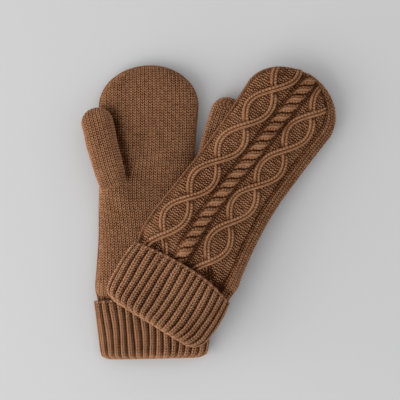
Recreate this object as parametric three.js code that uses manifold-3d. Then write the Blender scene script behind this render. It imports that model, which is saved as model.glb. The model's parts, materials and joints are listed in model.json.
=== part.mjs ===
// A pair of lined knit mittens with turned-up ribbed cuffs, laid one over the other.
//
// Units are millimetres, +Z is up and +Y runs from the cuffs towards the fingertips.
// Each mitten is built in its own frame: x across the hand, y from the fold of the cuff (0)
// to the fingertips, z up from the underside. The left mitten lies palm up with its thumb on
// top. The right mitten lies palm down over it, propped on its own thumb, so in its own frame
// the palm is the underside. Both thumbs point to -x.

import * as THREE from "three";
import { mergeVertices } from "three/addons/utils/BufferGeometryUtils.js";
import Module from "manifold-3d";

const wasm = await Module();
wasm.setup();

// ---- driving dimensions ----------------------------------------------------------------

const SHELL = 2.4; // knit fabric of the hand and thumb
const RIB = 2.8; // ribbed fabric of the cuff
const LINING = 1.6; // brushed lining
const GAP = 0.3; // air between two plies
const CUFF_GAP = 0.5; // air between the turned-up ply and the ply inside it
const SQUARENESS = 2.5; // superellipse exponent of every cross-section
const AROUND_HAND = 20; // points round a cross-section
const AROUND_THUMB = 16;
const AROUND_PIN = 20;
const PAST = 5; // how far a body that hollows out another runs past it
const HAND_TIP_ANGLES = [18, 37, 56, 76]; // degrees round the rounded ends
const THUMB_TIP_ANGLES = [25, 50, 75];

const CUFF = {
  stations: [0, 5, 10, 20, 52], // along it, where each mitten gives its two sides
  depth: 12, // below its widest line, before the flat underside cuts it off
  turnUp: 52, // length of the turned-up ply
  edge: 1.6, // length of the cast-off edge along it
  foldRound: 1.6, // how much the folded end is rounded
  fold: 1.5, // thickness of the knit that turns the fold
  innerStart: 1.8,
  innerEnd: 45.5,
};

const WRIST_SEAM = { start: 45.8, end: 47.7 };
const HAND_START = 48;
const LINING_HEM = { start: 64.2, end: 65.7 };
const LINING_START = 66;

// Outline of the hand, from the wrist inside the cuff up to where the rounded tip begins.
const SEAM_HEIGHT = 9; // of the widest line, where the palm and the back are joined
const IN_CUFF = RIB + CUFF_GAP; // how far the wrist stays inside the turned-up ply
const wrist = (cuffHeight) => {
  const rise = cuffHeight - SEAM_HEIGHT - IN_CUFF;
  const depth = CUFF.depth - IN_CUFF;
  return [
    { y: 40, halfWidth: 49.1, rise, depth, floor: IN_CUFF },
    { y: 55, halfWidth: 49.4, rise, depth, floor: IN_CUFF },
  ];
};
const HAND = [
  { y: 66, halfWidth: 51.2, rise: 10.4, depth: 11, floor: 1 },
  { y: 82, halfWidth: 50.4, rise: 11.5, depth: 12, floor: 0 },
  { y: 112, halfWidth: 47, rise: 11.5, depth: 12, floor: 0 },
  { y: 150, halfWidth: 43.6, rise: 11.5, depth: 12, floor: 0 },
  { y: 192, halfWidth: 44, rise: 11.5, depth: 12, floor: 0 },
  { y: 237, halfWidth: 46.5, rise: 11.5, depth: 12, floor: 0 },
];
const TIP_LENGTH = 38;
const TIP_FLATTENING = 0.75; // how fast the thickness falls towards a rounded end
const SIDE_SEAM_HALF = 1;
const WIDE = 160; // blocks that cut a mitten reach past it
const TALL = 60;

// The thumb, from its palm side up. Its stations run from the middle of its base.
const THUMB_SEAM = 7;
const THUMB_FLOOR = 0.3;
const thumbStations = (rise) => [
  { y: 0, halfWidth: 11, middle: 0, rise: rise - 0.5, depth: 9, floor: THUMB_FLOOR },
  { y: 14, halfWidth: 13.4, middle: 1.6, rise, depth: 9, floor: THUMB_FLOOR },
  { y: 37, halfWidth: 14.7, middle: 2, rise, depth: 9, floor: THUMB_FLOOR },
  { y: 62, halfWidth: 15.1, middle: 0.9, rise, depth: 9, floor: THUMB_FLOOR },
];
const THUMB_HEEL = 11;
const THUMB_TIP = 15.2;

// The round way in at the base of the thumb, and the seam that lines it.
const THUMB_HOLE = { radius: 8.7, down: -8, up: 5.5 };
const THUMB_BASE_SEAM = { outer: 8.4, inner: 7.4, down: -2.4, up: 2.6 };

const LEFT = {
  name: "left",
  lean: 1.2, // degrees anticlockwise seen from above
  palmUp: true,
  cuffHeight: 18, // pressed down by the mitten on top
  cuffLeft: [-48.3, -50, -50.8, -51.8, -55.2],
  cuffRight: [50.3, 52.5, 53.6, 54.3, 54.3],
  sway: [0, -0.8, -1.5, -1, -1.5, -3.4, -1, 0.8], // of its midline, at the stations of the hand
  widen: [1.8, 0.6, 0, 0, 0.3, 0.6, 0, 0], // added to the half widths there
  tipSway: 2,
  thumbBase: new THREE.Vector3(-29, 161, 19),
  thumbAngle: 15.5,
  thumbTilt: 12, // degrees, outer side down
  thumbDroop: 0, // degrees, tip towards the palm
  thumbRise: 9.5, // from its widest line to its outer face
};
const RIGHT = {
  name: "right",
  lean: -32.5,
  palmUp: false,
  cuffHeight: 23,
  cuffLeft: [-49.5, -54, -55.8, -56.8, -56.9],
  cuffRight: [44.5, 49, 52, 53.7, 53.8],
  sway: [-1.5, -1.7, -2.7, -4, -4.5, -3.2, 0, 2.8],
  widen: [2.6, 1.6, 1.2, 1.2, 1, 1.2, 0.6, 0],
  tipSway: 6,
  sideTilt: 9.5, // degrees, thumb side up
  endTilt: 3.6, // degrees, cuff end up
  fold: new THREE.Vector3(-1.3, 33.9, 23.7), // middle of its cuff fold, from the left one's
  thumbBase: new THREE.Vector3(-26.6, 145, -2.2),
  thumbAngle: 15.5,
  thumbTilt: 9.5,
  thumbDroop: 1.6,
  thumbRise: 7,
};

const YARN = new THREE.MeshStandardMaterial({ color: 0x7d583e, roughness: 0.95, metalness: 0 });
const RIB_YARN = new THREE.MeshStandardMaterial({ color: 0x8a6347, roughness: 0.95, metalness: 0 });
const FLEECE = new THREE.MeshStandardMaterial({ color: 0x5f4330, roughness: 1, metalness: 0 });
const THREAD = new THREE.MeshStandardMaterial({ color: 0x6a4830, roughness: 0.9, metalness: 0 });

// ---- solids ----------------------------------------------------------------------------

const radians = THREE.MathUtils.degToRad;

function signedPower(value, exponent) {
  return Math.sign(value) * Math.abs(value) ** exponent;
}

// One cross-section: a rounded bag with a flat underside.
function section({ y, halfWidth, middle = 0, rise, depth, floor }, seam, around) {
  const points = [];
  for (let i = 0; i < around; i += 1) {
    const angle = (2 * Math.PI * i) / around;
    const across = signedPower(Math.cos(angle), 2 / SQUARENESS);
    const up = signedPower(Math.sin(angle), 2 / SQUARENESS);
    const z = up > 0 ? seam + rise * up : Math.max(floor, seam + depth * up);
    points.push(new THREE.Vector3(middle + halfWidth * across, y, z));
  }
  return points;
}

// A closed body through a list of sections that all have the same number of points.
function loft(sections) {
  const count = sections[0].length;
  const points = sections.flat();
  const last = sections.length - 1;
  const startCentre = points.length;
  const endCentre = startCentre + 1;
  for (const ends of [sections[0], sections[last]]) {
    const centre = new THREE.Vector3();
    ends.forEach((point) => centre.addScaledVector(point, 1 / count));
    points.push(centre);
  }
  const index = [];
  for (let i = 0; i < count; i += 1) {
    const next = (i + 1) % count;
    for (let k = 0; k < last; k += 1) {
      const here = k * count;
      const there = here + count;
      index.push(here + i, there + i, here + next);
      index.push(here + next, there + i, there + next);
    }
    index.push(startCentre, i, next);
    index.push(endCentre, last * count + next, last * count + i);
  }
  const geometry = new THREE.BufferGeometry().setFromPoints(points);
  geometry.setIndex(index);
  return geometry;
}

function toSolid(geometry) {
  geometry.deleteAttribute("normal");
  geometry.deleteAttribute("uv");
  const merged = mergeVertices(geometry, 1e-4);
  const mesh = new wasm.Mesh({
    numProp: 3,
    vertProperties: Float32Array.from(merged.attributes.position.array),
    triVerts: Uint32Array.from(merged.index.array),
  });
  return new wasm.Manifold(mesh);
}

function toMesh(name, solid, material) {
  const result = solid.getMesh();
  const geometry = new THREE.BufferGeometry();
  geometry.setAttribute("position", new THREE.BufferAttribute(result.vertProperties, 3));
  geometry.setIndex(new THREE.BufferAttribute(result.triVerts, 1));
  geometry.computeVertexNormals();
  const mesh = new THREE.Mesh(geometry, material);
  mesh.name = name;
  return mesh;
}

function sectionSolid(stations, seam, around = AROUND_HAND) {
  return toSolid(loft(stations.map((station) => section(station, seam, around))));
}

// A block that spans a whole mitten across, between two places along it and two heights.
function block(start, end, low = -TALL, high = TALL) {
  const geometry = new THREE.BoxGeometry(WIDE, end - start, high - low);
  geometry.translate(0, (start + end) / 2, (low + high) / 2);
  return toSolid(geometry);
}

function pull(station, inset) {
  return {
    ...station,
    halfWidth: station.halfWidth - inset,
    rise: station.rise - inset,
    depth: station.depth - inset,
    floor: station.floor + inset,
  };
}

// The rounded end of a bag, starting from its last full station and leaning over to endMiddle.
function roundedEnd(station, length, inset, angles, { direction = 1, endMiddle = station.middle } = {}) {
  return angles.map((degrees) => {
    const across = Math.cos(radians(degrees));
    const along = Math.sin(radians(degrees));
    return {
      ...station,
      y: station.y + direction * (length - inset) * along,
      middle: station.middle + (endMiddle - station.middle) * (1 - across),
      halfWidth: station.halfWidth * across,
      rise: station.rise * across ** TIP_FLATTENING,
      depth: station.depth * across ** TIP_FLATTENING,
    };
  });
}

function handSolid({ cuffHeight, sway, widen, tipSway }, inset) {
  const body = [...wrist(cuffHeight), ...HAND].map((station, i) => {
    const halfWidth = station.halfWidth + widen[i];
    return pull({ ...station, halfWidth, middle: sway[i] }, inset);
  });
  const tip = roundedEnd(body.at(-1), TIP_LENGTH, inset, HAND_TIP_ANGLES, { endMiddle: tipSway });
  return sectionSolid([...body, ...tip], SEAM_HEIGHT);
}

// The height at y of a line through values given at the stations, carried on past both ends.
function valueAt(stations, values, y) {
  const found = stations.findIndex((station) => station > y);
  const next = found < 0 ? stations.length - 1 : Math.max(1, found);
  const share = (y - stations[next - 1]) / (stations[next] - stations[next - 1]);
  return THREE.MathUtils.lerp(values[next - 1], values[next], share);
}

function cuffSolid({ cuffHeight, cuffLeft, cuffRight }, inset, start, end) {
  const rise = cuffHeight - SEAM_HEIGHT;
  const at = (y) => {
    const left = valueAt(CUFF.stations, cuffLeft, y);
    const right = valueAt(CUFF.stations, cuffRight, y);
    const halfWidth = (right - left) / 2;
    const middle = (right + left) / 2;
    const round = inset === 0 ? Math.max(0, CUFF.foldRound - y) : 0; // on the outside only
    return pull({ y, halfWidth, middle, rise, depth: CUFF.depth, floor: 0 }, inset + round);
  };
  const between = [...CUFF.stations, CUFF.foldRound].filter((y) => y > start && y < end);
  between.sort((a, b) => a - b);
  return sectionSolid([start, ...between, end].map(at), SEAM_HEIGHT);
}

function thumbSolid(rise, side, inset) {
  const outwards = ({ middle, ...station }) => ({ ...station, middle: -side * middle });
  const body = thumbStations(rise).map((station) => pull(outwards(station), inset));
  const heel = roundedEnd(body[0], THUMB_HEEL, inset, THUMB_TIP_ANGLES, { direction: -1 }).reverse();
  const tip = roundedEnd(body.at(-1), THUMB_TIP, inset, THUMB_TIP_ANGLES);
  return sectionSolid([...heel, ...body, ...tip], THUMB_SEAM, AROUND_THUMB);
}

function pin(radius, low, high) {
  const geometry = new THREE.CylinderGeometry(radius, radius, high - low, AROUND_PIN);
  geometry.rotateX(Math.PI / 2);
  geometry.translate(0, 0, (low + high) / 2);
  return geometry;
}

// ---- sub-parts -------------------------------------------------------------------------

function buildCuff(mitten) {
  const { name } = mitten;
  const ply = (inset, start, end) => cuffSolid(mitten, inset, start, end);
  const hollow = ply(RIB, CUFF.fold, CUFF.turnUp + PAST);
  const mouth = ply(RIB + IN_CUFF, -PAST, CUFF.turnUp + PAST);
  const turnUp = ply(0, 0, CUFF.turnUp).subtract(hollow).subtract(mouth);
  const edgeStart = CUFF.turnUp + GAP;
  const edge = ply(0, edgeStart, edgeStart + CUFF.edge).subtract(hollow);
  const inner = ply(IN_CUFF, CUFF.innerStart, CUFF.innerEnd).subtract(mouth);
  return [
    toMesh(`${name}_cuff_inner_ply`, inner, RIB_YARN),
    toMesh(`${name}_cuff_turnup`, turnUp, RIB_YARN),
    toMesh(`${name}_cuff_edge`, edge, RIB_YARN),
  ];
}

function buildHand(mitten, thumbHole) {
  const { name, palmUp } = mitten;
  const bag = (inset) => handSolid(mitten, inset);
  const shell = bag(0).subtract(bag(SHELL));
  const lining = bag(SHELL + GAP).subtract(bag(SHELL + GAP + LINING));
  const end = HAND.at(-1).y + TIP_LENGTH;
  const split = SIDE_SEAM_HALF + GAP;
  const upper = shell.intersect(block(HAND_START, end, SEAM_HEIGHT + split));
  const lower = shell.intersect(block(HAND_START, end, -TALL, SEAM_HEIGHT - split));
  const seamBand = [SEAM_HEIGHT - SIDE_SEAM_HALF, SEAM_HEIGHT + SIDE_SEAM_HALF];
  const sideSeam = shell.intersect(block(HAND_START, end, ...seamBand));
  const wristSeam = shell.intersect(block(WRIST_SEAM.start, WRIST_SEAM.end));
  const liningPly = lining.intersect(block(LINING_START, end)).subtract(thumbHole);
  const hem = lining.intersect(block(LINING_HEM.start, LINING_HEM.end));
  return [
    toMesh(`${name}_palm_panel`, (palmUp ? upper : lower).subtract(thumbHole), YARN),
    toMesh(`${name}_back_panel`, palmUp ? lower : upper, YARN),
    toMesh(`${name}_side_seam`, sideSeam, THREAD),
    toMesh(`${name}_wrist_seam`, wristSeam, THREAD),
    toMesh(`${name}_hand_lining`, liningPly, FLEECE),
    toMesh(`${name}_lining_hem`, hem, THREAD),
  ];
}

function thumbHoleGeometry() {
  return pin(THUMB_HOLE.radius, THUMB_HOLE.down, THUMB_HOLE.up);
}

// The thumb, in its own frame: z away from the palm, y towards its tip.
function buildThumb({ name, thumbRise }, side) {
  const bag = (inset) => thumbSolid(thumbRise, side, inset);
  const hole = toSolid(thumbHoleGeometry());
  const shell = bag(0).subtract(bag(SHELL)).subtract(hole);
  const lining = bag(SHELL + GAP).subtract(bag(SHELL + GAP + LINING)).subtract(hole);
  const { outer, inner, down, up } = THUMB_BASE_SEAM;
  const bore = toSolid(pin(inner, THUMB_HOLE.down, THUMB_HOLE.up));
  const seam = toSolid(pin(outer, down, up)).subtract(bore);
  return [
    toMesh(`${name}_thumb_shell`, shell, YARN),
    toMesh(`${name}_thumb_lining`, lining, FLEECE),
    toMesh(`${name}_thumb_base_seam`, seam, THREAD),
  ];
}

// Where a thumb frame sits in its mitten's frame. `side` is 1 with the palm up, -1 with it down.
function thumbPlace({ thumbBase, thumbAngle, thumbTilt, thumbDroop }, side) {
  const tilt = radians(thumbTilt);
  const angle = radians(thumbAngle);
  const away = new THREE.Vector3(-Math.sin(tilt), 0, Math.cos(tilt)).multiplyScalar(side);
  const tipwards = new THREE.Vector3(-Math.sin(angle), Math.cos(angle), 0);
  tipwards.addScaledVector(away, -tipwards.dot(away)).normalize();
  const across = new THREE.Vector3().crossVectors(tipwards, away);
  away.applyAxisAngle(across, -radians(thumbDroop));
  tipwards.applyAxisAngle(across, -radians(thumbDroop));
  return new THREE.Matrix4().makeBasis(across, tipwards, away).setPosition(thumbBase);
}

function buildMitten(mitten) {
  const side = mitten.palmUp ? 1 : -1;
  const place = thumbPlace(mitten, side);
  const hole = toSolid(thumbHoleGeometry().applyMatrix4(place));
  const thumb = new THREE.Group();
  thumb.applyMatrix4(place);
  thumb.add(...buildThumb(mitten, side));
  const group = new THREE.Group();
  group.add(...buildHand(mitten, hole), ...buildCuff(mitten), thumb);
  return group;
}

// ---- assembly --------------------------------------------------------------------------

const left = buildMitten(LEFT);
left.rotation.z = radians(LEFT.lean);

const right = buildMitten(RIGHT);
right.rotation.order = "ZYX";
right.rotation.set(radians(-RIGHT.endTilt), radians(RIGHT.sideTilt), radians(RIGHT.lean));
right.position.copy(RIGHT.fold);

const pair = new THREE.Group();
pair.add(left, right);
pair.updateMatrixWorld(true);
const bounds = new THREE.Box3().setFromObject(pair, true);
const centre = bounds.getCenter(new THREE.Vector3());
pair.position.set(-centre.x, -centre.y, -bounds.min.z);

const group = new THREE.Group();
group.add(pair);

export default group;
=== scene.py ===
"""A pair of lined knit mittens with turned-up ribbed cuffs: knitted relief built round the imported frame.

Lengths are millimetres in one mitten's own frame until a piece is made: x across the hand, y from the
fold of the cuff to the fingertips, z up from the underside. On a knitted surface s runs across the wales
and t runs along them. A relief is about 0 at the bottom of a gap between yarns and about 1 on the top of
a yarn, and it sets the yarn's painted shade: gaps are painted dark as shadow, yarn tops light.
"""

import json
import math

import bpy
import numpy as np
from mathutils import Matrix, Vector


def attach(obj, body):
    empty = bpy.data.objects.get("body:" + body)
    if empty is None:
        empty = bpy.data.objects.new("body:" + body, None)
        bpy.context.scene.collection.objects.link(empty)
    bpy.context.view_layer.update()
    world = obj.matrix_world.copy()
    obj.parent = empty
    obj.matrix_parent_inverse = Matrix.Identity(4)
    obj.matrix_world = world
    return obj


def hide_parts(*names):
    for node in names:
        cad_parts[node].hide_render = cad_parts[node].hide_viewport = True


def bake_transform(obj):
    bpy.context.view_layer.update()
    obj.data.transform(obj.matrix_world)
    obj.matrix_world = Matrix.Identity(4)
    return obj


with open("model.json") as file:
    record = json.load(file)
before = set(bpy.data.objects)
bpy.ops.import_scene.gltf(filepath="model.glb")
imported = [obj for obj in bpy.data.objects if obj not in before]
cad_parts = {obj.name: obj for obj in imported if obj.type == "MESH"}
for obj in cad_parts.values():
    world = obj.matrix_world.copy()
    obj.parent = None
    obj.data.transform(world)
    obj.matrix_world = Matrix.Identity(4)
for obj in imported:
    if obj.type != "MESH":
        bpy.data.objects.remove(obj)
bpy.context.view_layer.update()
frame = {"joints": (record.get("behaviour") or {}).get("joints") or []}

MM = 0.001

# ---- the mittens, as the frame has them ------------------------------------------------

SHELL = 2.4
RIB = 2.8
LINING = 1.6
GAP = 0.3
SEAM_HEIGHT = 9.0
IN_CUFF = 3.3
SQUARENESS = 2.5
HAND_START = 48.0
LINING_START = 66.0
LINING_HEM = (64.2, 65.7)
WRIST_SEAM = (45.8, 47.7)
TIP_START = 237.0
TIP_LENGTH = 38.0
TIP_FLATTENING = 0.75
LAST_TIP_ANGLE = 87.0
HAND_Y = [40, 55, 66, 82, 112, 150, 192, 237]
HAND_HALF_WIDTH = [49.1, 49.4, 51.2, 50.4, 47, 43.6, 44, 46.5]
HAND_FLOOR = [3.3, 3.3, 1, 0, 0, 0, 0, 0]
HAND_DEPTH = [8.7, 8.7, 11, 12, 12, 12, 12, 12]
HAND_RISE = [10.4, 11.5, 11.5, 11.5, 11.5, 11.5]  # from the third station on

CUFF_DEPTH = 12.0
CUFF_TURN_UP = 52.0
CUFF_EDGE = (52.3, 53.9)
CUFF_Y = [-1.2, 1.5, 5, 10, 20, 45, 54]
HALF_CUFF = 54.0
INNER_PLY = (2.7, 45.5)
FOLD_START = 3.0
FOLD_REACH = 4.0
FOLD_RUN = 4.5  # millimetres of rib for each radian of the fold
CAST_OFF_MIDDLE = 1.45  # below the cuff's surface
CAST_OFF_HALF = (1.15, 1.35)  # along the cuff and through it

THUMB_SEAM = 7.0
THUMB_DEPTH = 9.0
THUMB_Y = [-18, -10, -3, 4, 12, 37, 62]
THUMB_HALF_WIDTH = [9, 11.5, 12.8, 13.3, 13.7, 14.7, 15.1]
THUMB_MIDDLE = [2.5, 2.6, 2.6, 2.5, 2.3, 2, 0.9]
THUMB_STANDS = [-0.2, 0, 0.35, 0.72, 0.93, 1, 1]  # share of its full height above the palm
THUMB_TIP = 15.2
THUMB_HOLLOW_START = -2.0
THUMB_LINING_START = 0.0
THUMB_BASE_RADIUS = 7.9

# Each mitten lies turned by `lean`, and tilted to its side and its end. `sway` and `widen` belong to
# HAND_Y, and the sides of the cuff to CUFF_Y. A hollow is (s, t, half width, half length, depth).

MITTENS = {
    "left": dict(
        seed=14, palm_up=True, lean=1.2, side_tilt=0, end_tilt=0,
        thumb_base=(-29, 161, 19), thumb_angle=15.5, thumb_tilt=12, thumb_droop=0, thumb_rise=9.5,
        mound=9.5,
        sway=[0, -0.8, -1.5, -1, -1.5, -3.4, -1, 0.8], tip_sway=2,
        widen=[1.8, 0.6, 0, 0, 0.3, 0.6, 0, 0],
        cuff_left=[-45, -48.5, -50, -50.8, -51.8, -54.3, -55.3],
        cuff_right=[46, 50.5, 52.5, 53.6, 54.3, 54.3, 53.5],
        cuff_height=18, cuff_bow=2, cuff_lift=0, corner_drop=0,
        hollows=[],
    ),
    "right": dict(
        seed=15, palm_up=False, lean=-32.5, side_tilt=9.5, end_tilt=3.6,
        thumb_base=(-26.6, 145, -2.2), thumb_angle=15.5, thumb_tilt=9.5, thumb_droop=1.6, thumb_rise=7,
        mound=0,
        sway=[-1.5, -1.7, -2.7, -4, -4.5, -3.2, 0, 2.8], tip_sway=6,
        widen=[2.6, 1.6, 1.2, 1.2, 1, 1.2, 0.6, 0],
        cuff_left=[-44, -50, -54, -55.8, -56.8, -56.8, -55.5],
        cuff_right=[40, 45.5, 49, 52, 53.7, 53.9, 52.5],
        cuff_height=23, cuff_bow=5.3, cuff_lift=2, corner_drop=2.5,
        hollows=[(21.5, 67, 6.5, 6, 4), (1, 63, 8, 4, 1.6), (37, 64, 4, 9, 2)],
    ),
}

# ---- knitting --------------------------------------------------------------------------

WALE = 3.65  # width of one column of stitches
COURSE = 2.5  # height of one row
LEG_CLIMB = 0.9  # courses that a leg of a stitch climbs from the middle of its wale to the edge
RIBS_AROUND = 33
RIDGE_SHARE = 0.66  # of a rib's width
# The bare gap this leaves on the right of each ridge is painted dark as the ridge's shadow.
VALLEY_BUMP_AT = 0.84  # the purl column lies against the ridge on its right

PLAIN_RELIEF = 1.6
RIB_RELIEF = 1.8
PURL_RELIEF = 1.3
CABLE_SINK = 1.5  # how far the gaps in the cabled back's ground lie below the hand's smooth surface
LOWEST = -2.0  # the upper knit sinks no further below that surface, so the cloth keeps some thickness

ROPE_HALF = 6.8
ROPE_HEIGHT = 3.3
ROPE_PITCH = 11.0
CHAINS_AT = (-22.2, 21.4)
CHAINS_APART = 2.6  # how much further out each chain lies near the cuff
CHAIN_SWING = 10.6
CHAIN_PERIOD = 42.2
FIRST_OVAL = 96.0
STRAND_HALF = 3.6
STRAND_HEIGHT = 2.7
OVAL_PUFF = 0.9
EDGE_WALES = (4.2, 0.5)  # how many plain wales run up the back's right and left edges
PANEL_DRIFT_T = [50, 96, 139, 182, 221, 262]  # the cable panel wanders across the back
PANEL_DRIFT = [-8.8, -8.4, -6.9, -5.1, -4.1, -0.5]

GATHER_PITCH = 7.4
# Painted shade in the gathers and hollows above the cuff, as relief taken off the yarn's colour.
GATHER_PAINTED_SHADE = 0.16  # relief lost for each millimetre that the cloth is drawn in
CREASE_DEPTH = 1.7
# Painted shadow of the thumb on the palm beside it, as relief taken off for each millimetre of crease.
THUMB_PAINTED_SHADOW = 0.24

CHAIN_SEAM_HALF = (1.55, 1.7)  # across and up
CHAIN_SEAM_STEP = 0.55

INSIDE_RELIEF = 0.4  # the even shade of knit that lies against the lining
FLEECE_RELIEF = 0.55

# ---- how finely the pieces are made ----------------------------------------------------

SEEN_DETAIL = (75, 35)  # rows and columns of the inner face of a panel that lies uppermost
HIDDEN_DETAIL = (52, 24)
FINER = 6  # rows and columns of a panel's outer face for each of its inner face
CUFF_COLUMNS = 420
INNER_CUFF_COLUMNS = 330
BAND_COLUMNS = 300
LINING_ROWS = (60, 90)  # of its outer and inner faces
LINING_COLUMNS = 120
THUMB_DETAIL = (230, 170)
THUMB_INSIDE_DETAIL = (40, 40)
THUMB_LINING_DETAIL = (50, 48)


def fraction(value):
    return value - np.floor(value)


def ease(value, start, end):
    """0 before start, 1 after end, smooth between them."""
    share = np.clip((value - start) / (end - start), 0, 1)
    return share * share * (3 - 2 * share)


def dome(value, squareness=2.0, roundness=0.5):
    """1 at 0, falling to 0 at -1 and 1 as the top of a round yarn does."""
    return np.clip(1 - np.abs(value) ** squareness, 0, 1) ** roundness


def lumps(x, y, size, seed):
    """Soft unevenness from about -1 to 1, in humps about `size` across."""
    rng = np.random.default_rng(seed)
    total = 0
    for _ in range(6):
        turn = rng.uniform(0, 2 * math.pi)
        wave = 2 * math.pi / (size * rng.uniform(1.3, 2.6))
        run = x * math.cos(turn) + y * math.sin(turn)
        total = total + np.sin(wave * run + rng.uniform(0, 2 * math.pi))
    return total / 3


UNEVEN = np.random.default_rng(7).uniform(-1, 1, (97, 193))


def tension(s, t):
    """How tight each stitch came out, from -1 to 1."""
    wale = np.floor(s / WALE).astype(int)
    course = np.floor(t / COURSE).astype(int)
    return UNEVEN[wale % UNEVEN.shape[0], course % UNEVEN.shape[1]]


def stitch(leg, t):
    """Relief of one column of knit stitches. leg is 0 at its middle and 1 at its edges."""
    phase = fraction(t / COURSE - LEG_CLIMB * leg)
    leg_round = dome(2 * phase - 1, 2, 1)
    beside = dome(2 * leg - 1, 2, 0.8)
    across = np.where(leg < 0.5, 0.35 + 0.65 * beside, beside)
    return across * (0.1 + 0.9 * leg_round)


def strand_stitch(reach, t, groove, gap):
    """Relief of a raised cord two legs wide. reach is 0 at its middle, 1 at its sides."""
    phase = fraction(t / COURSE - LEG_CLIMB * reach)
    inner_half = groove + (1 - groove) * dome(2 * reach - 1, 2, 0.8)
    outer_half = dome(2 * reach - 1, 4, 0.8)
    legs = np.where(reach < 0.5, inner_half, outer_half)
    return legs * (gap + (1 - gap) * dome(2 * phase - 1, 2, 1))


def plain(s, t):
    """Plain knit: columns of V-shaped stitches that point to the cuff."""
    leg = np.abs(2 * fraction(s / WALE) - 1)
    return stitch(leg, t) * (1 + 0.12 * tension(s, t))


def purl(s, t):
    """The back of plain knit: rows of interlocked bumps."""
    phase = t / COURSE + 0.14 * np.cos(2 * math.pi * s / WALE) + 0.1 * tension(s, t)
    row = (0.5 + 0.5 * np.cos(2 * math.pi * phase)) ** 1.1
    return row * (0.66 + 0.34 * np.cos(4 * math.pi * s / WALE)) * (1 + 0.35 * tension(s, t))


def rib(at, t):
    """One knit column and one sunk purl column for each whole step of `at`. Returns height and relief."""
    across = 2 * fraction(at) - 1
    reach = np.abs(across) / RIDGE_SHARE
    ridge = dome(reach, 2.4, 0.7)
    on_ridge = strand_stitch(np.clip(reach, 0, 1), t, groove=0.1, gap=0.05)
    beside = 2 * fraction((across + VALLEY_BUMP_AT) / 2 + 0.5) - 1
    bumps = dome(beside / 0.2, 2, 1) * (0.5 + 0.5 * np.cos(2 * math.pi * (t / COURSE + 0.3)))
    height = np.where(reach < 1, ridge, 0.5 * bumps)
    # painted shade: darker down the ridge's sides, and darkest in the bare gap on its right, as the ridge's
    # shadow
    return height, np.where(reach < 1, on_ridge * (0.4 + 0.6 * ridge), 0.7 * bumps)


def rope(s, t):
    """The rope cable: lobes that climb from lower left to upper right, one over the next."""
    offset = 0.5 * s + 0.018 * s ** 3
    phase = fraction((t - offset) / ROPE_PITCH)
    lobe = dome(2 * phase - 1, 2.4, 0.7)
    body = dome(s / ROPE_HALF, 3, 0.6)
    yarn = 0.25 + 0.75 * stitch(np.abs(2 * fraction(1.5 * phase) - 1), 1.2 * s)
    return body * lobe, yarn


def chain(s, t):
    """Two strands that part round ovals and cross between them, the one that climbs to the right on top."""
    turn = math.pi * (t - FIRST_OVAL) / CHAIN_PERIOD + math.pi / 2
    apart = np.abs(np.sin(turn)) * 2 * CHAIN_SWING
    crossing = 1 - ease(apart, 1.5, 9)
    height = np.zeros_like(s)
    yarn = np.zeros_like(s)
    for sign in (1, -1):
        middle = sign * CHAIN_SWING * np.sin(turn)
        slope = sign * CHAIN_SWING * math.pi / CHAIN_PERIOD * np.cos(turn)
        away = (s - middle) / np.sqrt(1 + slope * slope)
        reach = np.clip(np.abs(away) / STRAND_HALF, 0, 1)
        over = ease(slope, -0.1, 0.1)
        strand = dome(reach, 2.4, 0.55) * (1 - 0.78 * crossing * (1 - over)) * (1 + 0.12 * crossing * over)
        strand = strand * (1 - 0.3 * np.exp(-(reach / 0.25) ** 2))
        higher = strand > height
        yarn = np.where(higher, strand_stitch(reach, t, groove=0.35, gap=0.5), yarn)
        height = np.maximum(height, strand)
    return height, yarn, apart


def lay_chain(height, relief, s, t):
    """Adds a chain to a knitted face, with the ovals between its strands puffed up."""
    strand, yarn, apart = chain(s, t)
    puff = dome(s / (0.5 * apart + 0.1), 2, 0.7) * ease(apart, 6, 14)
    raised = STRAND_HEIGHT * strand + 0.8 * yarn * np.minimum(1, 2 * strand)
    height = np.maximum(height + OVAL_PUFF * puff, raised)
    # painted shade: each strand's yarn darkens down its sides and where it dips under the other
    return height, np.where(strand > 0.05, 0.9 * yarn * (0.35 + 0.65 * strand), relief)


def lay_rope(height, relief, s, t):
    """Adds the rope with a groove along each side of it; its sides, the creases between its lobes and the
    grooves are painted in shade.
    """
    body, yarn = rope(s, t)
    in_rope = np.abs(s) < ROPE_HALF
    height = np.where(in_rope, ROPE_HEIGHT * body + 0.7 * yarn * body, height)
    relief = np.where(in_rope, yarn * (0.15 + 0.85 * body), relief)
    groove = np.exp(-((np.abs(s) - ROPE_HALF - 1.3) / 1.4) ** 2)
    return height - 1.1 * groove, relief * (1 - 0.5 * groove)


def lay_edge(height, relief, inwards, t, strip):
    """Adds plain wales along an edge, `strip` wide, with a gap beside them. inwards is 0 at the edge."""
    wales = 1 - ease(inwards, strip - 0.6, strip + 0.6)
    edge = plain(inwards, t) * (0.55 + 0.45 * dome(2 * fraction(inwards / WALE) - 1, 2, 1))
    height = height * (1 - wales) + wales * (0.8 + 1.9 * edge)
    relief = relief * (1 - wales) + wales * edge
    gap = np.exp(-((inwards - strip - 1.2) / 1.1) ** 2) * (0.7 + 0.3 * np.cos(2 * math.pi * t / COURSE))
    # the gap beside the wales is sunk and painted in shade
    return height - 1.3 * gap, relief * (1 - 0.7 * gap)


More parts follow.
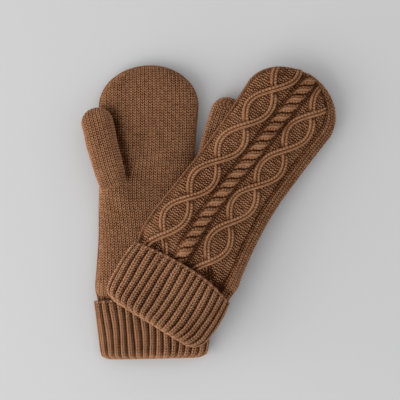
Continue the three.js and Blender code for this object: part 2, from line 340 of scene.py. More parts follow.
def cable_back(s, t):
    """Height of the patterned back in millimetres, and its relief."""
    across = s - smooth_through(t, PANEL_DRIFT_T, PANEL_DRIFT)
    ground = purl(across, t)
    height = PURL_RELIEF * ground
    relief = 0.12 + ground
    apart = CHAINS_APART * (1 - ease(t, 85, 130))
    for centre in CHAINS_AT:
        height, relief = lay_chain(height, relief, across - centre - np.sign(centre) * apart, t)
    height, relief = lay_rope(height, relief, across, t)
    reach = np.max(s, axis=1, keepdims=True)
    for inwards, wales in zip((reach - s, reach + s), EDGE_WALES):
        height, relief = lay_edge(height, relief, inwards, t, wales * WALE)
    return height, relief


def plain_face(s, t):
    """Height and relief of a plain knitted face, with its wales running a little unevenly."""
    s = s + 0.35 * np.sin(t / 21) + 0.2 * np.sin(t / 9 + 1)
    relief = plain(s, t)
    return PLAIN_RELIEF * relief, relief


# ---- shapes ----------------------------------------------------------------------------


def smooth_through(at, stations, values):
    """A cubic curve through the stations."""
    stations = np.asarray(stations, float)
    values = np.asarray(values, float)
    slopes = np.gradient(values, stations)
    i = np.clip(np.searchsorted(stations, at) - 1, 0, len(stations) - 2)
    width = stations[i + 1] - stations[i]
    u = np.clip((at - stations[i]) / width, 0, 1)
    start = values[i] * (1 + 2 * u) * (1 - u) ** 2 + slopes[i] * width * u * (1 - u) ** 2
    end = values[i + 1] * u * u * (3 - 2 * u) - slopes[i + 1] * width * u * u * (1 - u)
    return start + end


def along(*columns):
    """Distance run along a curve given by its coordinates."""
    steps = sum(np.diff(column) ** 2 for column in columns)
    return np.concatenate([[0], np.cumsum(np.sqrt(steps))])


def hand_sections(mitten, count, start=HAND_START, inset=0.0):
    """Sections of the hand, evenly spaced over its surface, from `start` to the fingertips."""
    rise_in_cuff = mitten["cuff_height"] - SEAM_HEIGHT - IN_CUFF
    sway = mitten["sway"]
    rises = [rise_in_cuff, rise_in_cuff] + HAND_RISE
    half_widths = np.add(HAND_HALF_WIDTH, mitten["widen"])
    y = np.linspace(start, TIP_START, 600)[:-1]
    angle = np.radians(np.linspace(0, LAST_TIP_ANGLE, 500))
    end = np.cos(angle)
    flat = end ** TIP_FLATTENING
    rows = {
        "y": np.concatenate([y, TIP_START + (TIP_LENGTH - inset) * np.sin(angle)]),
        "half_width": np.concatenate([smooth_through(y, HAND_Y, half_widths) - inset,
                                      (half_widths[-1] - inset) * end]),
        "rise": np.concatenate([smooth_through(y, HAND_Y, rises) - inset, (rises[-1] - inset) * flat]),
        "depth": np.concatenate([smooth_through(y, HAND_Y, HAND_DEPTH) - inset,
                                 (HAND_DEPTH[-1] - inset) * flat]),
        "floor": np.concatenate([smooth_through(y, HAND_Y, HAND_FLOOR) + inset, 0 * end + inset]),
        "middle": np.concatenate([smooth_through(y, HAND_Y, sway),
                                  sway[-1] + (mitten["tip_sway"] - sway[-1]) * (1 - end)]),
    }
    rows["seam"] = np.full(len(rows["y"]), SEAM_HEIGHT)
    rows["t"] = start + along(rows["y"], rows["rise"])
    travel = along(rows["y"], rows["rise"], 0.4 * rows["half_width"])
    even = np.linspace(0, travel[-1], count)
    return {key: np.interp(even, travel, value) for key, value in rows.items()}


def outline(row, angles):
    """Points of one section at the given angles, and the distance run round it from the first."""
    across = np.sign(np.cos(angles)) * np.abs(np.cos(angles)) ** (2 / SQUARENESS)
    up = np.sign(np.sin(angles)) * np.abs(np.sin(angles)) ** (2 / SQUARENESS)
    x = row["middle"] + row["half_width"] * across
    above = row["seam"] + row["rise"] * up
    below = np.maximum(row["floor"], row["seam"] + row["depth"] * up)
    z = np.where(up > 0, above, below)
    return x, z, along(x, z)


def section_grid(rows, columns, low, high):
    """Points over a run of sections between two angles, evenly spaced across, with their s and t."""
    angles = np.linspace(low, high, 900)
    count = len(rows["y"])
    points = np.zeros((count, columns, 3))
    s = np.zeros((count, columns))
    for i in range(count):
        x, z, run = outline({key: value[i] for key, value in rows.items()}, angles)
        even = np.linspace(0, run[-1], columns)
        points[i, :, 0] = np.interp(even, run, x)
        points[i, :, 1] = rows["y"][i]
        points[i, :, 2] = np.interp(even, run, z)
        s[i] = even - run[-1] / 2
    t = np.repeat(rows["t"][:, None], columns, axis=1)
    return points, s, t


def unit(vectors):
    length = np.linalg.norm(vectors, axis=-1, keepdims=True)
    return vectors / np.maximum(length, 1e-9)


def grid_normals(points):
    """Unit normals of a grid, on the side from which s runs to the right as t runs up."""
    return unit(np.cross(np.gradient(points, axis=1), np.gradient(points, axis=0)))


# ---- meshes ----------------------------------------------------------------------------


def grid_faces(rows, columns, first=0, wrap=False):
    """Quads of a grid of vertices numbered row by row."""
    i = np.arange(rows - 1)[:, None]
    j = np.arange(columns if wrap else columns - 1)[None, :]
    right = (j + 1) % columns
    corners = [i * columns + j, i * columns + right, (i + 1) * columns + right, (i + 1) * columns + j]
    spread = [np.broadcast_to(corner, (rows - 1, j.shape[1])) for corner in corners]
    return first + np.stack(spread, axis=-1).reshape(-1, 4)


def border(rows, columns, first=0):
    """Vertex numbers round a grid's edge, without repeating the first."""
    numbers = first + np.arange(rows * columns).reshape(rows, columns)
    return np.concatenate([numbers[0, :-1], numbers[:-1, -1], numbers[-1, :0:-1], numbers[:0:-1, 0]])


def closed_panel(outer, inner):
    """A slab of cloth between a fine outer grid and an inner grid with fewer rows and columns."""
    rows, columns = outer.shape[:2]
    few_rows, few_columns = inner.shape[:2]
    first = rows * columns
    quads = [grid_faces(rows, columns), grid_faces(few_rows, few_columns, first)[:, ::-1]]
    fine = border(rows, columns)
    coarse = border(few_rows, few_columns, first)
    middle = FINER // 2
    triangles = []
    for k in range(len(coarse)):
        here, following = coarse[k], coarse[(k + 1) % len(coarse)]
        run = [fine[(k * FINER + i) % len(fine)] for i in range(FINER + 1)]
        for i in range(FINER):
            triangles.append((run[i + 1], run[i], here if i < middle else following))
        triangles.append((run[middle], here, following))
    points = np.concatenate([outer.reshape(-1, 3), inner.reshape(-1, 3)])
    return points, np.concatenate(quads), np.array(triangles)


def closed_ring(grid):
    """A ring of cloth: the grid closes on itself both ways."""
    rows, columns = grid.shape[:2]
    faces = grid_faces(rows + 1, columns, wrap=True) % (rows * columns)
    return grid.reshape(-1, 3), faces, np.zeros((0, 3), int)


def closed_tube(rings):
    """A tube of rings of points with a point at each end."""
    rows, columns = rings.shape[:2]
    first = rows * columns
    points = np.concatenate([rings.reshape(-1, 3), rings[:1].mean(1), rings[-1:].mean(1)])
    j = np.arange(columns)
    following = (j + 1) % columns
    start = np.stack([following, j, np.full(columns, first)], axis=-1)
    last = first - columns
    end = np.stack([last + j, last + following, np.full(columns, first + 1)], axis=-1)
    return points, grid_faces(rows, columns, wrap=True), np.concatenate([start, end])


def enclosed_volume(points, quads, triangles):
    split = np.concatenate([quads[:, [0, 1, 2]], quads[:, [0, 2, 3]], triangles])
    a, b, c = (points[split[:, k]] for k in range(3))
    return np.einsum("ij,ij->i", a, np.cross(b, c)).sum() / 6


def make_mesh(name, parts, place, material):
    """A mesh of one or more closed parts. A part is (points, quads, triangles, relief, inside out)."""
    counts = np.cumsum([0] + [len(part[0]) for part in parts])
    loops, starts, total = [], [], 0
    for part, first in zip(parts, counts):
        points, quads, triangles, _, inside_out = part
        turned_in = (enclosed_volume(points, quads, triangles) < 0) != inside_out
        for faces in (quads, triangles):
            faces = (faces[:, ::-1] if turned_in else faces) + first
            size = faces.shape[1]
            starts.append(total + size * np.arange(len(faces)))
            loops.append(faces.ravel())
            total += faces.size
    points = np.concatenate([part[0] for part in parts])
    relief = np.concatenate([part[3] for part in parts])
    world = np.c_[points, np.ones(len(points))] @ np.array(place).T
    mesh = bpy.data.meshes.new(name)
    mesh.vertices.add(len(points))
    mesh.vertices.foreach_set("co", (world[:, :3] * MM).astype(np.float32).ravel())
    mesh.loops.add(total)
    mesh.loops.foreach_set("vertex_index", np.concatenate(loops).astype(np.int32))
    starts = np.concatenate(starts)
    mesh.polygons.add(len(starts))
    mesh.polygons.foreach_set("loop_start", starts.astype(np.int32))
    mesh.polygons.foreach_set("use_smooth", np.ones(len(starts), bool))
    mesh.update(calc_edges=True)
    mesh.validate()
    mesh.attributes.new("relief", "FLOAT", "POINT").data.foreach_set("value", relief.astype(np.float32))
    rest = mesh.attributes.new("rest", "FLOAT_VECTOR", "POINT")
    rest.data.foreach_set("vector", points.astype(np.float32).ravel())
    mesh.materials.append(material)
    piece = bpy.data.objects.new(name, mesh)
    bpy.context.scene.collection.objects.link(piece)
    return piece


# ---- materials -------------------------------------------------------------------------


RAMP_MIDDLE = 0.45
MIDDLE_SHARES = (0.42, 0.34, 0.27)  # how far red, green and blue are from dark to light there


def yarn_material(name, light, dark, gaps=(0.1, 0.95), fibre=1.0, sheen=0.05, contrast=1.0, fluff=0.00012):
    """Wool yarn with painted shade between the stitches, set by the relief, flecked, with a fibrous surface.
    """
    material = bpy.data.materials.new(name)
    material.use_nodes = True
    tree = material.node_tree
    shader = tree.nodes["Principled BSDF"]
    shader.inputs["Roughness"].default_value = 0.92
    shader.inputs["Specular IOR Level"].default_value = 0.1
    shader.inputs["Sheen Weight"].default_value = sheen
    shader.inputs["Sheen Roughness"].default_value = 0.55
    shader.inputs["Sheen Tint"].default_value = (*light, 1)

    def add(kind, **settings):
        node = tree.nodes.new(kind)
        for key, value in settings.items():
            setattr(node, key, value)
        return node

    def noise(scale, detail, roughness=0.6):
        node = add("ShaderNodeTexNoise")
        node.inputs["Scale"].default_value = scale
        node.inputs["Detail"].default_value = detail
        node.inputs["Roughness"].default_value = roughness
        tree.links.new(rest.outputs["Vector"], node.inputs["Vector"])
        return node

    def spread(source, low, high, start=0.0, end=1.0, clamp=True):
        node = add("ShaderNodeMapRange", clamp=clamp)
        for socket, value in zip(("From Min", "From Max", "To Min", "To Max"), (low, high, start, end)):
            node.inputs[socket].default_value = value
        tree.links.new(source, node.inputs["Value"])
        return node.outputs["Result"]

    def maths(operation, first, second):
        node = add("ShaderNodeMath", operation=operation)
        for socket, value in zip(node.inputs, (first, second)):
            if isinstance(value, (int, float)):
                socket.default_value = value
            else:
                tree.links.new(value, socket)
        return node.outputs["Value"]

    rest = add("ShaderNodeAttribute", attribute_name="rest")
    relief = add("ShaderNodeAttribute", attribute_name="relief")
    fleck = noise(0.9 * fibre, 3)
    patch = noise(0.035, 2)
    fuzz = noise(3.2 * fibre, 4, 0.7)
    # painted shade: the relief sets how far the colour runs from the shade deep in the gaps to the lit top of
    # the yarn
    open_yarn = spread(relief.outputs["Fac"], *gaps, clamp=False)
    flecked = spread(fleck.outputs["Fac"], 0.3, 0.7, -0.3 * contrast, 0.3 * contrast)
    patched = spread(patch.outputs["Fac"], 0.3, 0.7, -0.08, 0.08)
    fuzzed = spread(fuzz.outputs["Fac"], 0.3, 0.7, -0.22 * contrast, 0.22 * contrast)
    shade = maths("ADD", maths("ADD", open_yarn, flecked), maths("ADD", patched, fuzzed))
    ramp = add("ShaderNodeValToRGB")
    middle = [d + (l - d) * share for d, l, share in zip(dark, light, MIDDLE_SHARES)]
    ramp.color_ramp.elements.new(RAMP_MIDDLE)
    for element, colour in zip(ramp.color_ramp.elements, (dark, middle, light)):
        element.color = (*colour, 1)
    tree.links.new(shade, ramp.inputs["Fac"])
    tree.links.new(ramp.outputs["Color"], shader.inputs["Base Color"])
    bump = add("ShaderNodeBump")
    bump.inputs["Strength"].default_value = 0.7
    bump.inputs["Distance"].default_value = fluff
    tree.links.new(fuzz.outputs["Fac"], bump.inputs["Height"])
    tree.links.new(bump.outputs["Normal"], shader.inputs["Normal"])
    return material


# The dark end of each knitted yarn and of the seam yarn is painted shade deep in the gaps between stitches;
# the fleece's dark end is only the dark of its flecks.
KNIT = yarn_material("knit_yarn", light=(0.44, 0.23, 0.126), dark=(0.03, 0.007, 0.001), gaps=(0.18, 0.88))
# The rib yarn is the knit yarn given a lighter lit colour: a painted highlight on the raised ribs.
RIB_KNIT_PAINTED_LIGHTER = yarn_material("rib_yarn_painted_lighter", light=(0.52, 0.285, 0.168), dark=(0.025, 0.006, 0.001), gaps=(0.1, 0.9))
FLEECE = yarn_material("fleece_lining", light=(0.22, 0.13, 0.08), dark=(0.08, 0.045, 0.025), fibre=0.6,
                       gaps=(0, 1), sheen=0.6, contrast=1.4, fluff=0.0006)
THREAD = yarn_material("seam_yarn", light=(0.40, 0.205, 0.112), dark=(0.05, 0.014, 0.003))


# ---- pieces ----------------------------------------------------------------------------


def place_piece(name, parts, mitten, material, body, node):
    """Makes a piece in a mitten's frame, lets it ride on a body and stand for its CAD node."""
    piece = make_mesh(name, parts, mitten["place"], material)
    if body:
        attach(piece, body)
    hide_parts(node)
    return piece


def from_thumb(points, mitten):
    """How far points lie across and ahead of the base of the thumb, and the thumb's upward direction."""
    place, _ = thumb_place(mitten)
    across, ahead = (((points - place[:3, 3]) @ place[:3, k]) for k in (0, 1))
    return across, ahead, place[:3, 2]


def thumb_mound(points, mitten):
    """How far the palm swells up to meet the base of the thumb."""
    across, ahead, up = from_thumb(points, mitten)
    beside = np.where(across < 0, 24, 17)
    behind = np.where(ahead < 3, 24, 11)
    swell = np.exp(-(across / beside) ** 2 - ((ahead - 3) / behind) ** 2)
    return mitten["mound"] * swell[..., None] * up


def thumb_crease(points, mitten):
    """How deep the palm is pressed in along the inner side of the thumb that lies on it. The same depth
    paints the thumb's shadow on the palm.
    """
    across, ahead, _ = from_thumb(points, mitten)
    beside = ease(ahead, 0, 12) * (1 - ease(ahead, 60, 80))
    return CREASE_DEPTH * beside * np.exp(-((across - 13.5) / (3 + 0.04 * np.abs(ahead))) ** 2)


def gathers(s, t, mitten):
    """How deep the cloth is drawn in where it comes out of the cuff. The same depth paints shade into the
    gathers and hollows.
    """
    mouth = CUFF_EDGE[1] + mitten["cuff_bow"] + mitten["cuff_lift"]
    folds = 0.5 + 0.5 * np.sin(2 * math.pi * s / GATHER_PITCH + 0.9 * np.sin(s / 9))
    loose = 0.5 + 0.5 * np.sin(s / 5.3 + 1.3)
    depth = (0.6 + 1.5 * folds) * np.exp(-((t - mouth) / 4) ** 2)
    depth = depth + (1.3 * loose - 0.9) * np.exp(-((t - mouth - 8) / 11) ** 2)
    for at_s, at_t, wide, long, deep in mitten["hollows"]:
        depth = depth + deep * np.exp(-((s - at_s) / wide) ** 2 - ((t - at_t) / long) ** 2)
    return depth


def hand_panel(mitten, what):
    """One face of the hand, the "palm" in plain knit or the "back" in cables, as a slab of cloth."""
    side = mitten["name"]
    is_palm = what == "palm"
    upper = is_palm == mitten["palm_up"]
    rows, columns = SEEN_DETAIL if upper else HIDDEN_DETAIL
    sections = hand_sections(mitten, rows * FINER + 1)
    low, high = (math.pi, 0) if upper else (math.pi, 2 * math.pi)
    base, s, t = section_grid(sections, columns * FINER + 1, low, high)
    # the crease is pressed in beside the thumb and also painted dark as the thumb's shadow
    crease = thumb_crease(base, mitten) if is_palm and upper else 0
    if is_palm:
        base = base + thumb_mound(base, mitten)
    outwards = grid_normals(base) * (1 if upper else -1)
    height, relief = plain_face(s, t) if is_palm else cable_back(s if upper else -s, t)
    edge = np.minimum(s - s[:, :1], s[:, -1:] - s)
    height = height * ease(edge, 0, 2.2) - 0.5 * (1 - ease(edge, 1.2, 3.2))
    # painted shade along the panel's edges where the cloth dips into the side seam
    relief = relief * (0.25 + 0.75 * ease(edge, 0.6, 2.4))
    lift = height - (PLAIN_RELIEF if is_palm else CABLE_SINK)
    if upper:
        slack = lumps(base[..., 0], base[..., 1], 34, mitten["seed"]) * ease(edge, 0, 10)
        gather = gathers(s, t, mitten)
        lift = np.maximum(lift + 0.7 * slack - gather - crease, LOWEST)
        # painted shade in the gathers and hollows, and the thumb's painted shadow in the crease beside it
        relief = relief - GATHER_PAINTED_SHADE * gather - THUMB_PAINTED_SHADOW * crease
    else:
        lift = np.minimum(lift, 0)
    outer = base + outwards * lift[..., None]
    inner = (base - outwards * SHELL)[::FINER, ::FINER]
    points, quads, triangles = closed_panel(outer, inner)
    relief = np.concatenate([relief.ravel(), np.full(inner[..., 0].size, INSIDE_RELIEF)])
    part = (points, quads, triangles, relief, False)
    return place_piece(f"{side}_{what}_knit", [part], mitten, KNIT, f"{side}_hand", f"{side}_{what}_panel")


def side_seam(mitten):
    """The chain of stitches along the edge, from the wrist round the fingertips and back."""
    side = mitten["name"]
    rows = hand_sections(mitten, 700)
    left, right = (np.stack([rows["middle"] + edge * rows["half_width"], rows["y"], rows["seam"]], axis=-1)
                   for edge in (-1, 1))
    path = np.concatenate([left, right[::-1]])
    run = along(path[:, 0], path[:, 1])
    even = np.arange(0, run[-1], CHAIN_SEAM_STEP)
    path = np.stack([np.interp(even, run, path[:, k]) for k in range(3)], axis=-1)
    ahead = unit(np.gradient(path, axis=0))
    outwards = np.stack([-ahead[:, 1], ahead[:, 0], 0 * even], axis=-1)
    angle = np.linspace(0, 2 * math.pi, 25)[:-1]
    leg = np.abs(np.cos(angle))[None, :]
    relief = stitch(leg, even[:, None] + 0 * leg)
    size = 1 - 0.3 * (1 - relief)
    ends = dome(2 * even / even[-1] - 1, 60, 0.5)[:, None]
    wide, high = (half * size * ends for half in CHAIN_SEAM_HALF)
    rings = path[:, None] + outwards[:, None] * (wide * np.cos(angle) - 0.5)[..., None]
    rings[..., 2] += high * np.sin(angle)
    points, quads, triangles = closed_tube(rings)
    relief = np.concatenate([relief.ravel(), [0.5, 0.5]])
    return place_piece(f"{side}_side_seam_chain", [(points, quads, triangles, relief, False)], mitten, THREAD,
                       f"{side}_hand", f"{side}_side_seam")


def rib_at(share, t):
    """Which rib is at a share of the way round the cuff, with the ribs running a little unevenly."""
    return share * RIBS_AROUND + 0.06 * math.sin(t / 13) + 0.06 * np.sin(14 * math.pi * share + t / 11)


def cuff_row(mitten, y, inset):
    """Section of the cuff `inset` inside its outer surface."""
    left, right = (float(smooth_through(y, CUFF_Y, mitten[key])) for key in ("cuff_left", "cuff_right"))
    return {
        "middle": (left + right) / 2,
        "half_width": (right - left) / 2 - inset,
        "rise": mitten["cuff_height"] - SEAM_HEIGHT - inset,
        "depth": CUFF_DEPTH - inset,
        "floor": inset,
        "seam": SEAM_HEIGHT,
    }


def cuff_grid(mitten, profile, columns, relief_of):
    """Rings of the cuff along a profile of (y, inset, t). relief_of(share round, t) gives how far the
    surface is sunk there, and its relief."""
    angles = np.linspace(0, 2 * math.pi, 1801)
    share = np.arange(columns) / columns
    grid = np.zeros((len(profile), columns, 3))
    relief = np.zeros((len(profile), columns))
    for i, (y, inset, t) in enumerate(profile):
        x, z, run = outline(cuff_row(mitten, y, inset), angles)
        x, z = (np.interp(share * run[-1], run, value) for value in (x, z))
        sunk, relief[i] = relief_of(share, t)
        outwards = unit(np.stack([np.roll(z, -1) - np.roll(z, 1), np.roll(x, 1) - np.roll(x, -1)], axis=-1))
        grid[i, :, 0] = x - outwards[:, 0] * sunk
        grid[i, :, 1] = y
        grid[i, :, 2] = z - outwards[:, 1] * sunk
    across = grid[..., 0] / HALF_CUFF
    bow = mitten["cuff_bow"] * dome(across, 2, 1) * ease(grid[..., 2], 6, 12)
    drop = mitten["corner_drop"] * ease(across, 0.3, 1)
    lift = mitten["cuff_lift"] + bow - drop
    grid[..., 1] += lift * np.clip(grid[..., 1] / CUFF_TURN_UP, 0, 2) ** 1.5
    return grid, relief


def turned_up_cuff(mitten):
    """The turned-up ply with its rolled fold."""
    side = mitten["name"]
    outer = [(y, 0.0, y) for y in np.arange(CUFF_TURN_UP, FOLD_START, -0.55)]
    lip = RIB + IN_CUFF
    fold = []
    for angle in np.radians(np.arange(0, 181, 9)):
        y = FOLD_START - FOLD_REACH * math.sin(angle)
        fold.append((y, lip / 2 * (1 - math.cos(angle)), FOLD_START - FOLD_RUN * angle))
    inside = [(y, RIB - 0.1, None) for y in np.linspace(2.6, CUFF_TURN_UP, 14)]
    profile = outer + fold + inside

    def relief_of(share, t):
        if t is None:
            return 0 * share, 0 * share + 0.3
        ridge, relief = rib(rib_at(share, t), t)
        body = ease(t, -4, 9)
        sunk = (0.25 + 0.75 * body) * RIB_RELIEF * (1 - ridge) + 0.8 * (1 - relief) * ridge
        # round the fold the painted shade between the ribs fades to an even, light tone
        return sunk, 0.8 - (0.8 - relief) * (0.4 + 0.6 * body)

    grid, relief = cuff_grid(mitten, profile, CUFF_COLUMNS, relief_of)
    part = (*closed_ring(grid), relief.ravel(), False)
    return place_piece(f"{side}_cuff_rib", [part], mitten, RIB_KNIT_PAINTED_LIGHTER, f"{side}_cuff", f"{side}_cuff_turnup")


def cuff_cast_off(mitten):
    """The chained edge of the turned-up ply, which follows its ribs."""
    side = mitten["name"]
    middle = sum(CUFF_EDGE) / 2
    half_width, half_height = CAST_OFF_HALF
    profile = []
    for angle in np.radians(np.arange(0, 360, 24)):
        inset = CAST_OFF_MIDDLE - half_height * math.sin(angle)
        profile.append((middle - half_width * math.cos(angle), inset, angle))

    def relief_of(share, angle):
        at = rib_at(share, CUFF_TURN_UP)
        ridge, _ = rib(at, 0.0)
        relief = stitch(np.full_like(share, abs(math.cos(angle))), 2 * at * COURSE)
        sunk = 0.9 * (1 - ridge) * max(0, math.sin(angle)) + 0.25 * (1 - relief)
        # painted shade: darker between the ribs
        return sunk, relief * (0.55 + 0.45 * ridge)

    grid, relief = cuff_grid(mitten, profile, CUFF_COLUMNS, relief_of)
    part = (*closed_ring(grid), relief.ravel(), False)
    return place_piece(f"{side}_cuff_cast_off", [part], mitten, RIB_KNIT_PAINTED_LIGHTER, f"{side}_cuff", f"{side}_cuff_edge")


def inner_cuff(mitten):
    """The ply inside the turned-up one, ribbed on both faces."""
    side = mitten["name"]
    low, high = INNER_PLY
    outer = [(y, IN_CUFF, y) for y in np.arange(high, low, -0.9)]
    inner = [(y, IN_CUFF + RIB, y) for y in np.arange(low, high, 1.2)]
    grids = []
    for profile, inwards in ((outer, 1), (inner, -1)):
        def relief_of(share, t, inwards=inwards):
            ridge, relief = rib(share * RIBS_AROUND + 0.5, t)
            return inwards * ((1 - ridge) + 0.3 * (1 - relief)), relief

        grids.append(cuff_grid(mitten, profile, INNER_CUFF_COLUMNS, relief_of))
    grid, relief = (np.concatenate([pair[k] for pair in grids]) for k in (0, 1))
    part = (*closed_ring(grid), relief.ravel(), False)
    return place_piece(f"{side}_inner_rib", [part], mitten, RIB_KNIT_PAINTED_LIGHTER, f"{side}_hand",
                       f"{side}_cuff_inner_ply")


def band(name, mitten, y_range, inset, thickness, node):
    """A narrow stitched band round the inside of the wrist."""
    middle = sum(y_range) / 2
    reach = (y_range[1] - y_range[0]) / 2
    sections = hand_sections(mitten, 400, start=HAND_Y[0])
    angles = np.linspace(0, 2 * math.pi, 1801)
    share = np.arange(BAND_COLUMNS) / BAND_COLUMNS
    rings, reliefs = [], []
    for angle in np.radians(np.arange(0, 360, 30)):
        y = middle - reach * math.cos(angle)
        depth = inset + thickness / 2 * (1 - math.sin(angle))
        row = {key: np.interp(y, sections["y"], value) for key, value in sections.items()}
        for key in ("half_width", "rise", "depth"):
            row[key] -= depth
        row["floor"] += depth
        x, z, run = outline(row, angles)
        x, z = (np.interp(share * run[-1], run, value) for value in (x, z))
        rings.append(np.stack([x, 0 * x + y, z], axis=-1))
        reliefs.append(stitch(np.full(BAND_COLUMNS, abs(math.cos(angle))), share * run[-1]))
    part = (*closed_ring(np.array(rings)), np.concatenate(reliefs), False)
    return place_piece(name, [part], mitten, THREAD, mitten["name"] + "_hand", node)


def hand_lining(mitten):
    """The brushed lining, a bag open at the wrist."""
    side = mitten["name"]
    layers = []
    for inset, rows in zip((SHELL + GAP, SHELL + GAP + LINING), LINING_ROWS):
        sections = hand_sections(mitten, rows, start=LINING_START, inset=inset)
        grid, _, _ = section_grid(sections, LINING_COLUMNS + 1, 0, 2 * math.pi)
        layers.append(grid[:, :-1])
    outer, inner = layers
    fuzz = lumps(inner[..., 0], inner[..., 1], 4, 11) * lumps(inner[..., 2], inner[..., 1], 3, 12)
    inner = inner + (np.array([0, 0, SEAM_HEIGHT]) - inner) * 0.012 * fuzz[..., None] * (1, 0, 1)
    points, quads, triangles = closed_tube(np.concatenate([outer[::-1], inner]))
    part = (points, quads, triangles, np.full(len(points), FLEECE_RELIEF), False)
    return place_piece(f"{side}_fleece_lining", [part], mitten, FLEECE, f"{side}_hand", f"{side}_hand_lining")


def thumb_place(mitten):
    """The thumb's frame in its mitten's: z away from the palm, y towards the tip."""
    side = 1 if mitten["palm_up"] else -1
    tilt, angle = math.radians(mitten["thumb_tilt"]), math.radians(mitten["thumb_angle"])
    away = Vector((-math.sin(tilt), 0, math.cos(tilt))) * side
    tipwards = Vector((-math.sin(angle), math.cos(angle), 0))
    tipwards = (tipwards - away * tipwards.dot(away)).normalized()
    across = tipwards.cross(away)
    droop = Matrix.Rotation(-math.radians(mitten["thumb_droop"]), 3, across)
    columns = [across, droop @ tipwards, droop @ away]
    place = Matrix.Translation(mitten["thumb_base"]) @ Matrix(columns).transposed().to_4x4()
    return np.array(place), side


def thumb_sections(mitten, count, start, inset=0.0):
    """Sections of the thumb from `start` to its tip. Behind its base it sinks into the palm."""
    _, side = thumb_place(mitten)
    last = THUMB_Y[-1]
    y = np.linspace(start, last, 300)[:-1]
    angle = np.radians(np.linspace(0, LAST_TIP_ANGLE, 200))
    end = np.cos(angle)
    flat = end ** TIP_FLATTENING
    full = mitten["thumb_rise"]
    stands = smooth_through(y, THUMB_Y, THUMB_STANDS)
    sunk_seam = (THUMB_SEAM + 2) * stands - 2
    rows = {
        "y": np.concatenate([y, last + (THUMB_TIP - inset) * np.sin(angle)]),
        "half_width": np.concatenate([smooth_through(y, THUMB_Y, THUMB_HALF_WIDTH) - inset,
                                      (THUMB_HALF_WIDTH[-1] - inset) * end]),
        "rise": np.concatenate([full * np.maximum(stands, 0.12) - inset, (full - inset) * flat]),
        "depth": np.concatenate([0 * y + THUMB_DEPTH - inset, (THUMB_DEPTH - inset) * flat]),
        "floor": np.concatenate([0.3 - 3.5 * (1 - ease(y, -6, 22)) + inset, 0 * end + 0.3 + inset]),
        "middle": -side * np.concatenate([smooth_through(y, THUMB_Y, THUMB_MIDDLE),
                                          0 * end + THUMB_MIDDLE[-1]]),
        "seam": np.concatenate([sunk_seam, 0 * end + THUMB_SEAM]),
    }
    rows["t"] = along(rows["y"], rows["rise"])
    even = np.linspace(0, rows["t"][-1], count)
    return {key: np.interp(even, rows["t"], value) for key, value in rows.items()}


def to_mitten(points, place):
    return points @ place[:3, :3].T + place[:3, 3]


def thumb_knit(mitten):
    """The thumb's knit, hollow."""
    side = mitten["name"]
    place, _ = thumb_place(mitten)
    rows, columns = THUMB_DETAIL
    sections = thumb_sections(mitten, rows, THUMB_Y[0])
    grid, s, t = section_grid(sections, columns + 1, -math.pi / 2, 1.5 * math.pi)
    outwards = -grid_normals(grid)
    relief = plain(s, t)
    slack = 0.3 * lumps(grid[..., 0], grid[..., 1], 18, seed=5)
    outer = grid + outwards * (PLAIN_RELIEF * (relief - 0.8) + slack)[..., None]
    outer[:, 0] = outer[:, -1] = (outer[:, 0] + outer[:, -1]) / 2
    outer, relief = outer[:, :-1], relief[:, :-1]
    outside = (*closed_tube(to_mitten(outer, place)), np.concatenate([relief.ravel(), [0.5, 0.5]]), False)
    rows, columns = THUMB_INSIDE_DETAIL
    sections = thumb_sections(mitten, rows, THUMB_HOLLOW_START, inset=SHELL)
    grid, _, _ = section_grid(sections, columns + 1, 0, 2 * math.pi)
    points, quads, triangles = closed_tube(to_mitten(grid[:, :-1], place))
    inside = (points, quads, triangles, np.full(len(points), INSIDE_RELIEF), True)
    knit = place_piece(f"{side}_thumb_knit", [outside, inside], mitten, KNIT, None, f"{side}_thumb_shell")
    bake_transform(knit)
    return knit


def thumb_lining(mitten):
    """The brushed lining of the thumb."""
    side = mitten["name"]
    place, _ = thumb_place(mitten)
    rows, columns = THUMB_LINING_DETAIL
    parts = []
    for inset, inside_out in ((SHELL + GAP, False), (SHELL + GAP + LINING, True)):
        sections = thumb_sections(mitten, rows, THUMB_LINING_START, inset=inset)
        grid, _, _ = section_grid(sections, columns + 1, 0, 2 * math.pi)
        points, quads, triangles = closed_tube(to_mitten(grid[:, :-1], place))
        parts.append((points, quads, triangles, np.full(len(points), FLEECE_RELIEF), inside_out))
    return place_piece(f"{side}_thumb_fleece", parts, mitten, FLEECE, f"{side}_thumb", f"{side}_thumb_lining")


def thumb_seam(mitten):
    """The ring of stitches at the base of the thumb."""
    side = mitten["name"]
    place, _ = thumb_place(mitten)
    around = np.linspace(0, 2 * math.pi, 121)[:-1]
    rings, reliefs = [], []
    for angle in np.radians(np.arange(0, 360, 30)):
        relief = stitch(np.full(len(around), abs(math.cos(angle))), around * THUMB_BASE_RADIUS)
        radius = THUMB_BASE_RADIUS + (0.4 + 0.1 * relief) * math.cos(angle)
        height = 0 * around + 0.1 + 2.2 * math.sin(angle)
        rings.append(np.stack([radius * np.cos(around), radius * np.sin(around), height], axis=-1))
        reliefs.append(relief)
    part = (*closed_ring(to_mitten(np.array(rings), place)), np.concatenate(reliefs), False)
    return place_piece(f"{side}_thumb_seam", [part], mitten, THREAD, f"{side}_hand",
                       f"{side}_thumb_base_seam")


def mitten_place(mitten):
    """The mitten's frame in the part's, in millimetres, found from its thumb's hinge."""
    turn = (Matrix.Rotation(math.radians(mitten["lean"]), 4, "Z")
            @ Matrix.Rotation(math.radians(mitten["side_tilt"]), 4, "Y")
            @ Matrix.Rotation(math.radians(-mitten["end_tilt"]), 4, "X"))
    hinge = next(j for j in frame["joints"] if j["name"] == mitten["name"] + "_thumb_swing")
    origin = Vector(hinge["pos_m"]) / MM - turn @ Vector(mitten["thumb_base"])
    return Matrix.Translation(origin) @ turn


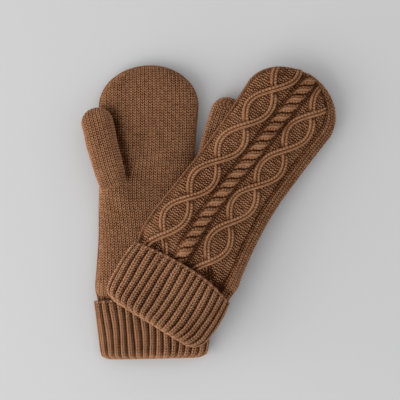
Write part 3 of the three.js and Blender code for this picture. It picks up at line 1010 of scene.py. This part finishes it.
for side, mitten in MITTENS.items():
    mitten["name"] = side
    mitten["place"] = mitten_place(mitten)
    hand_panel(mitten, "palm")
    hand_panel(mitten, "back")
    side_seam(mitten)
    turned_up_cuff(mitten)
    cuff_cast_off(mitten)
    inner_cuff(mitten)
    band(f"{side}_wrist_join", mitten, WRIST_SEAM, 0.0, SHELL, f"{side}_wrist_seam")
    hand_lining(mitten)
    band(f"{side}_fleece_hem", mitten, LINING_HEM, SHELL + GAP, LINING, f"{side}_lining_hem")
    thumb_knit(mitten)
    thumb_lining(mitten)
    thumb_seam(mitten)

# ---- floor, light and camera -----------------------------------------------------------

FLOOR_COLOUR = (0.605, 0.605, 0.61, 1)
LIGHTS = [  # name, place, size and power
    ("key", (-2.1, -1.4, 1.4), 2.6, 57),
    ("side", (-2.4, 0.1, 0.6), 1.4, 24),
]
SKY_STRENGTH = 0.66
CAMERA_PLACE = (-0.00806, 0.01187, 1.315)
CAMERA_ABOVE_PAIR = 1.3
FIELD = 0.376  # width of the view at the height of the pair
SENSOR = 36


def add_floor():
    bpy.ops.mesh.primitive_plane_add(size=6, location=(0, 0, 0))
    floor = bpy.context.object
    floor.name = "floor"
    material = bpy.data.materials.new("pale_floor")
    material.use_nodes = True
    shader = material.node_tree.nodes["Principled BSDF"]
    shader.inputs["Base Color"].default_value = FLOOR_COLOUR
    shader.inputs["Roughness"].default_value = 0.9
    floor.data.materials.append(material)


def add_light(name, place, size, power):
    data = bpy.data.lights.new(name, "AREA")
    data.shape = "SQUARE"
    data.size = size
    data.energy = power
    light = bpy.data.objects.new(name, data)
    light.location = place
    light.rotation_euler = (-Vector(place)).to_track_quat("-Z", "Y").to_euler()
    bpy.context.scene.collection.objects.link(light)


def add_sky():
    world = bpy.data.worlds.new("studio")
    world.use_nodes = True
    background = world.node_tree.nodes["Background"]
    background.inputs["Color"].default_value = (1, 1, 1, 1)
    background.inputs["Strength"].default_value = SKY_STRENGTH
    bpy.context.scene.world = world


def add_camera():
    """A long lens straight above the pair."""
    data = bpy.data.cameras.new("camera")
    data.sensor_width = SENSOR
    data.lens = SENSOR * CAMERA_ABOVE_PAIR / FIELD
    camera = bpy.data.objects.new("camera", data)
    camera.location = CAMERA_PLACE
    bpy.context.scene.collection.objects.link(camera)
    bpy.context.scene.camera = camera


add_floor()
for light in LIGHTS:
    add_light(*light)
add_sky()
add_camera()
bpy.context.scene.view_settings.view_transform = "Standard"
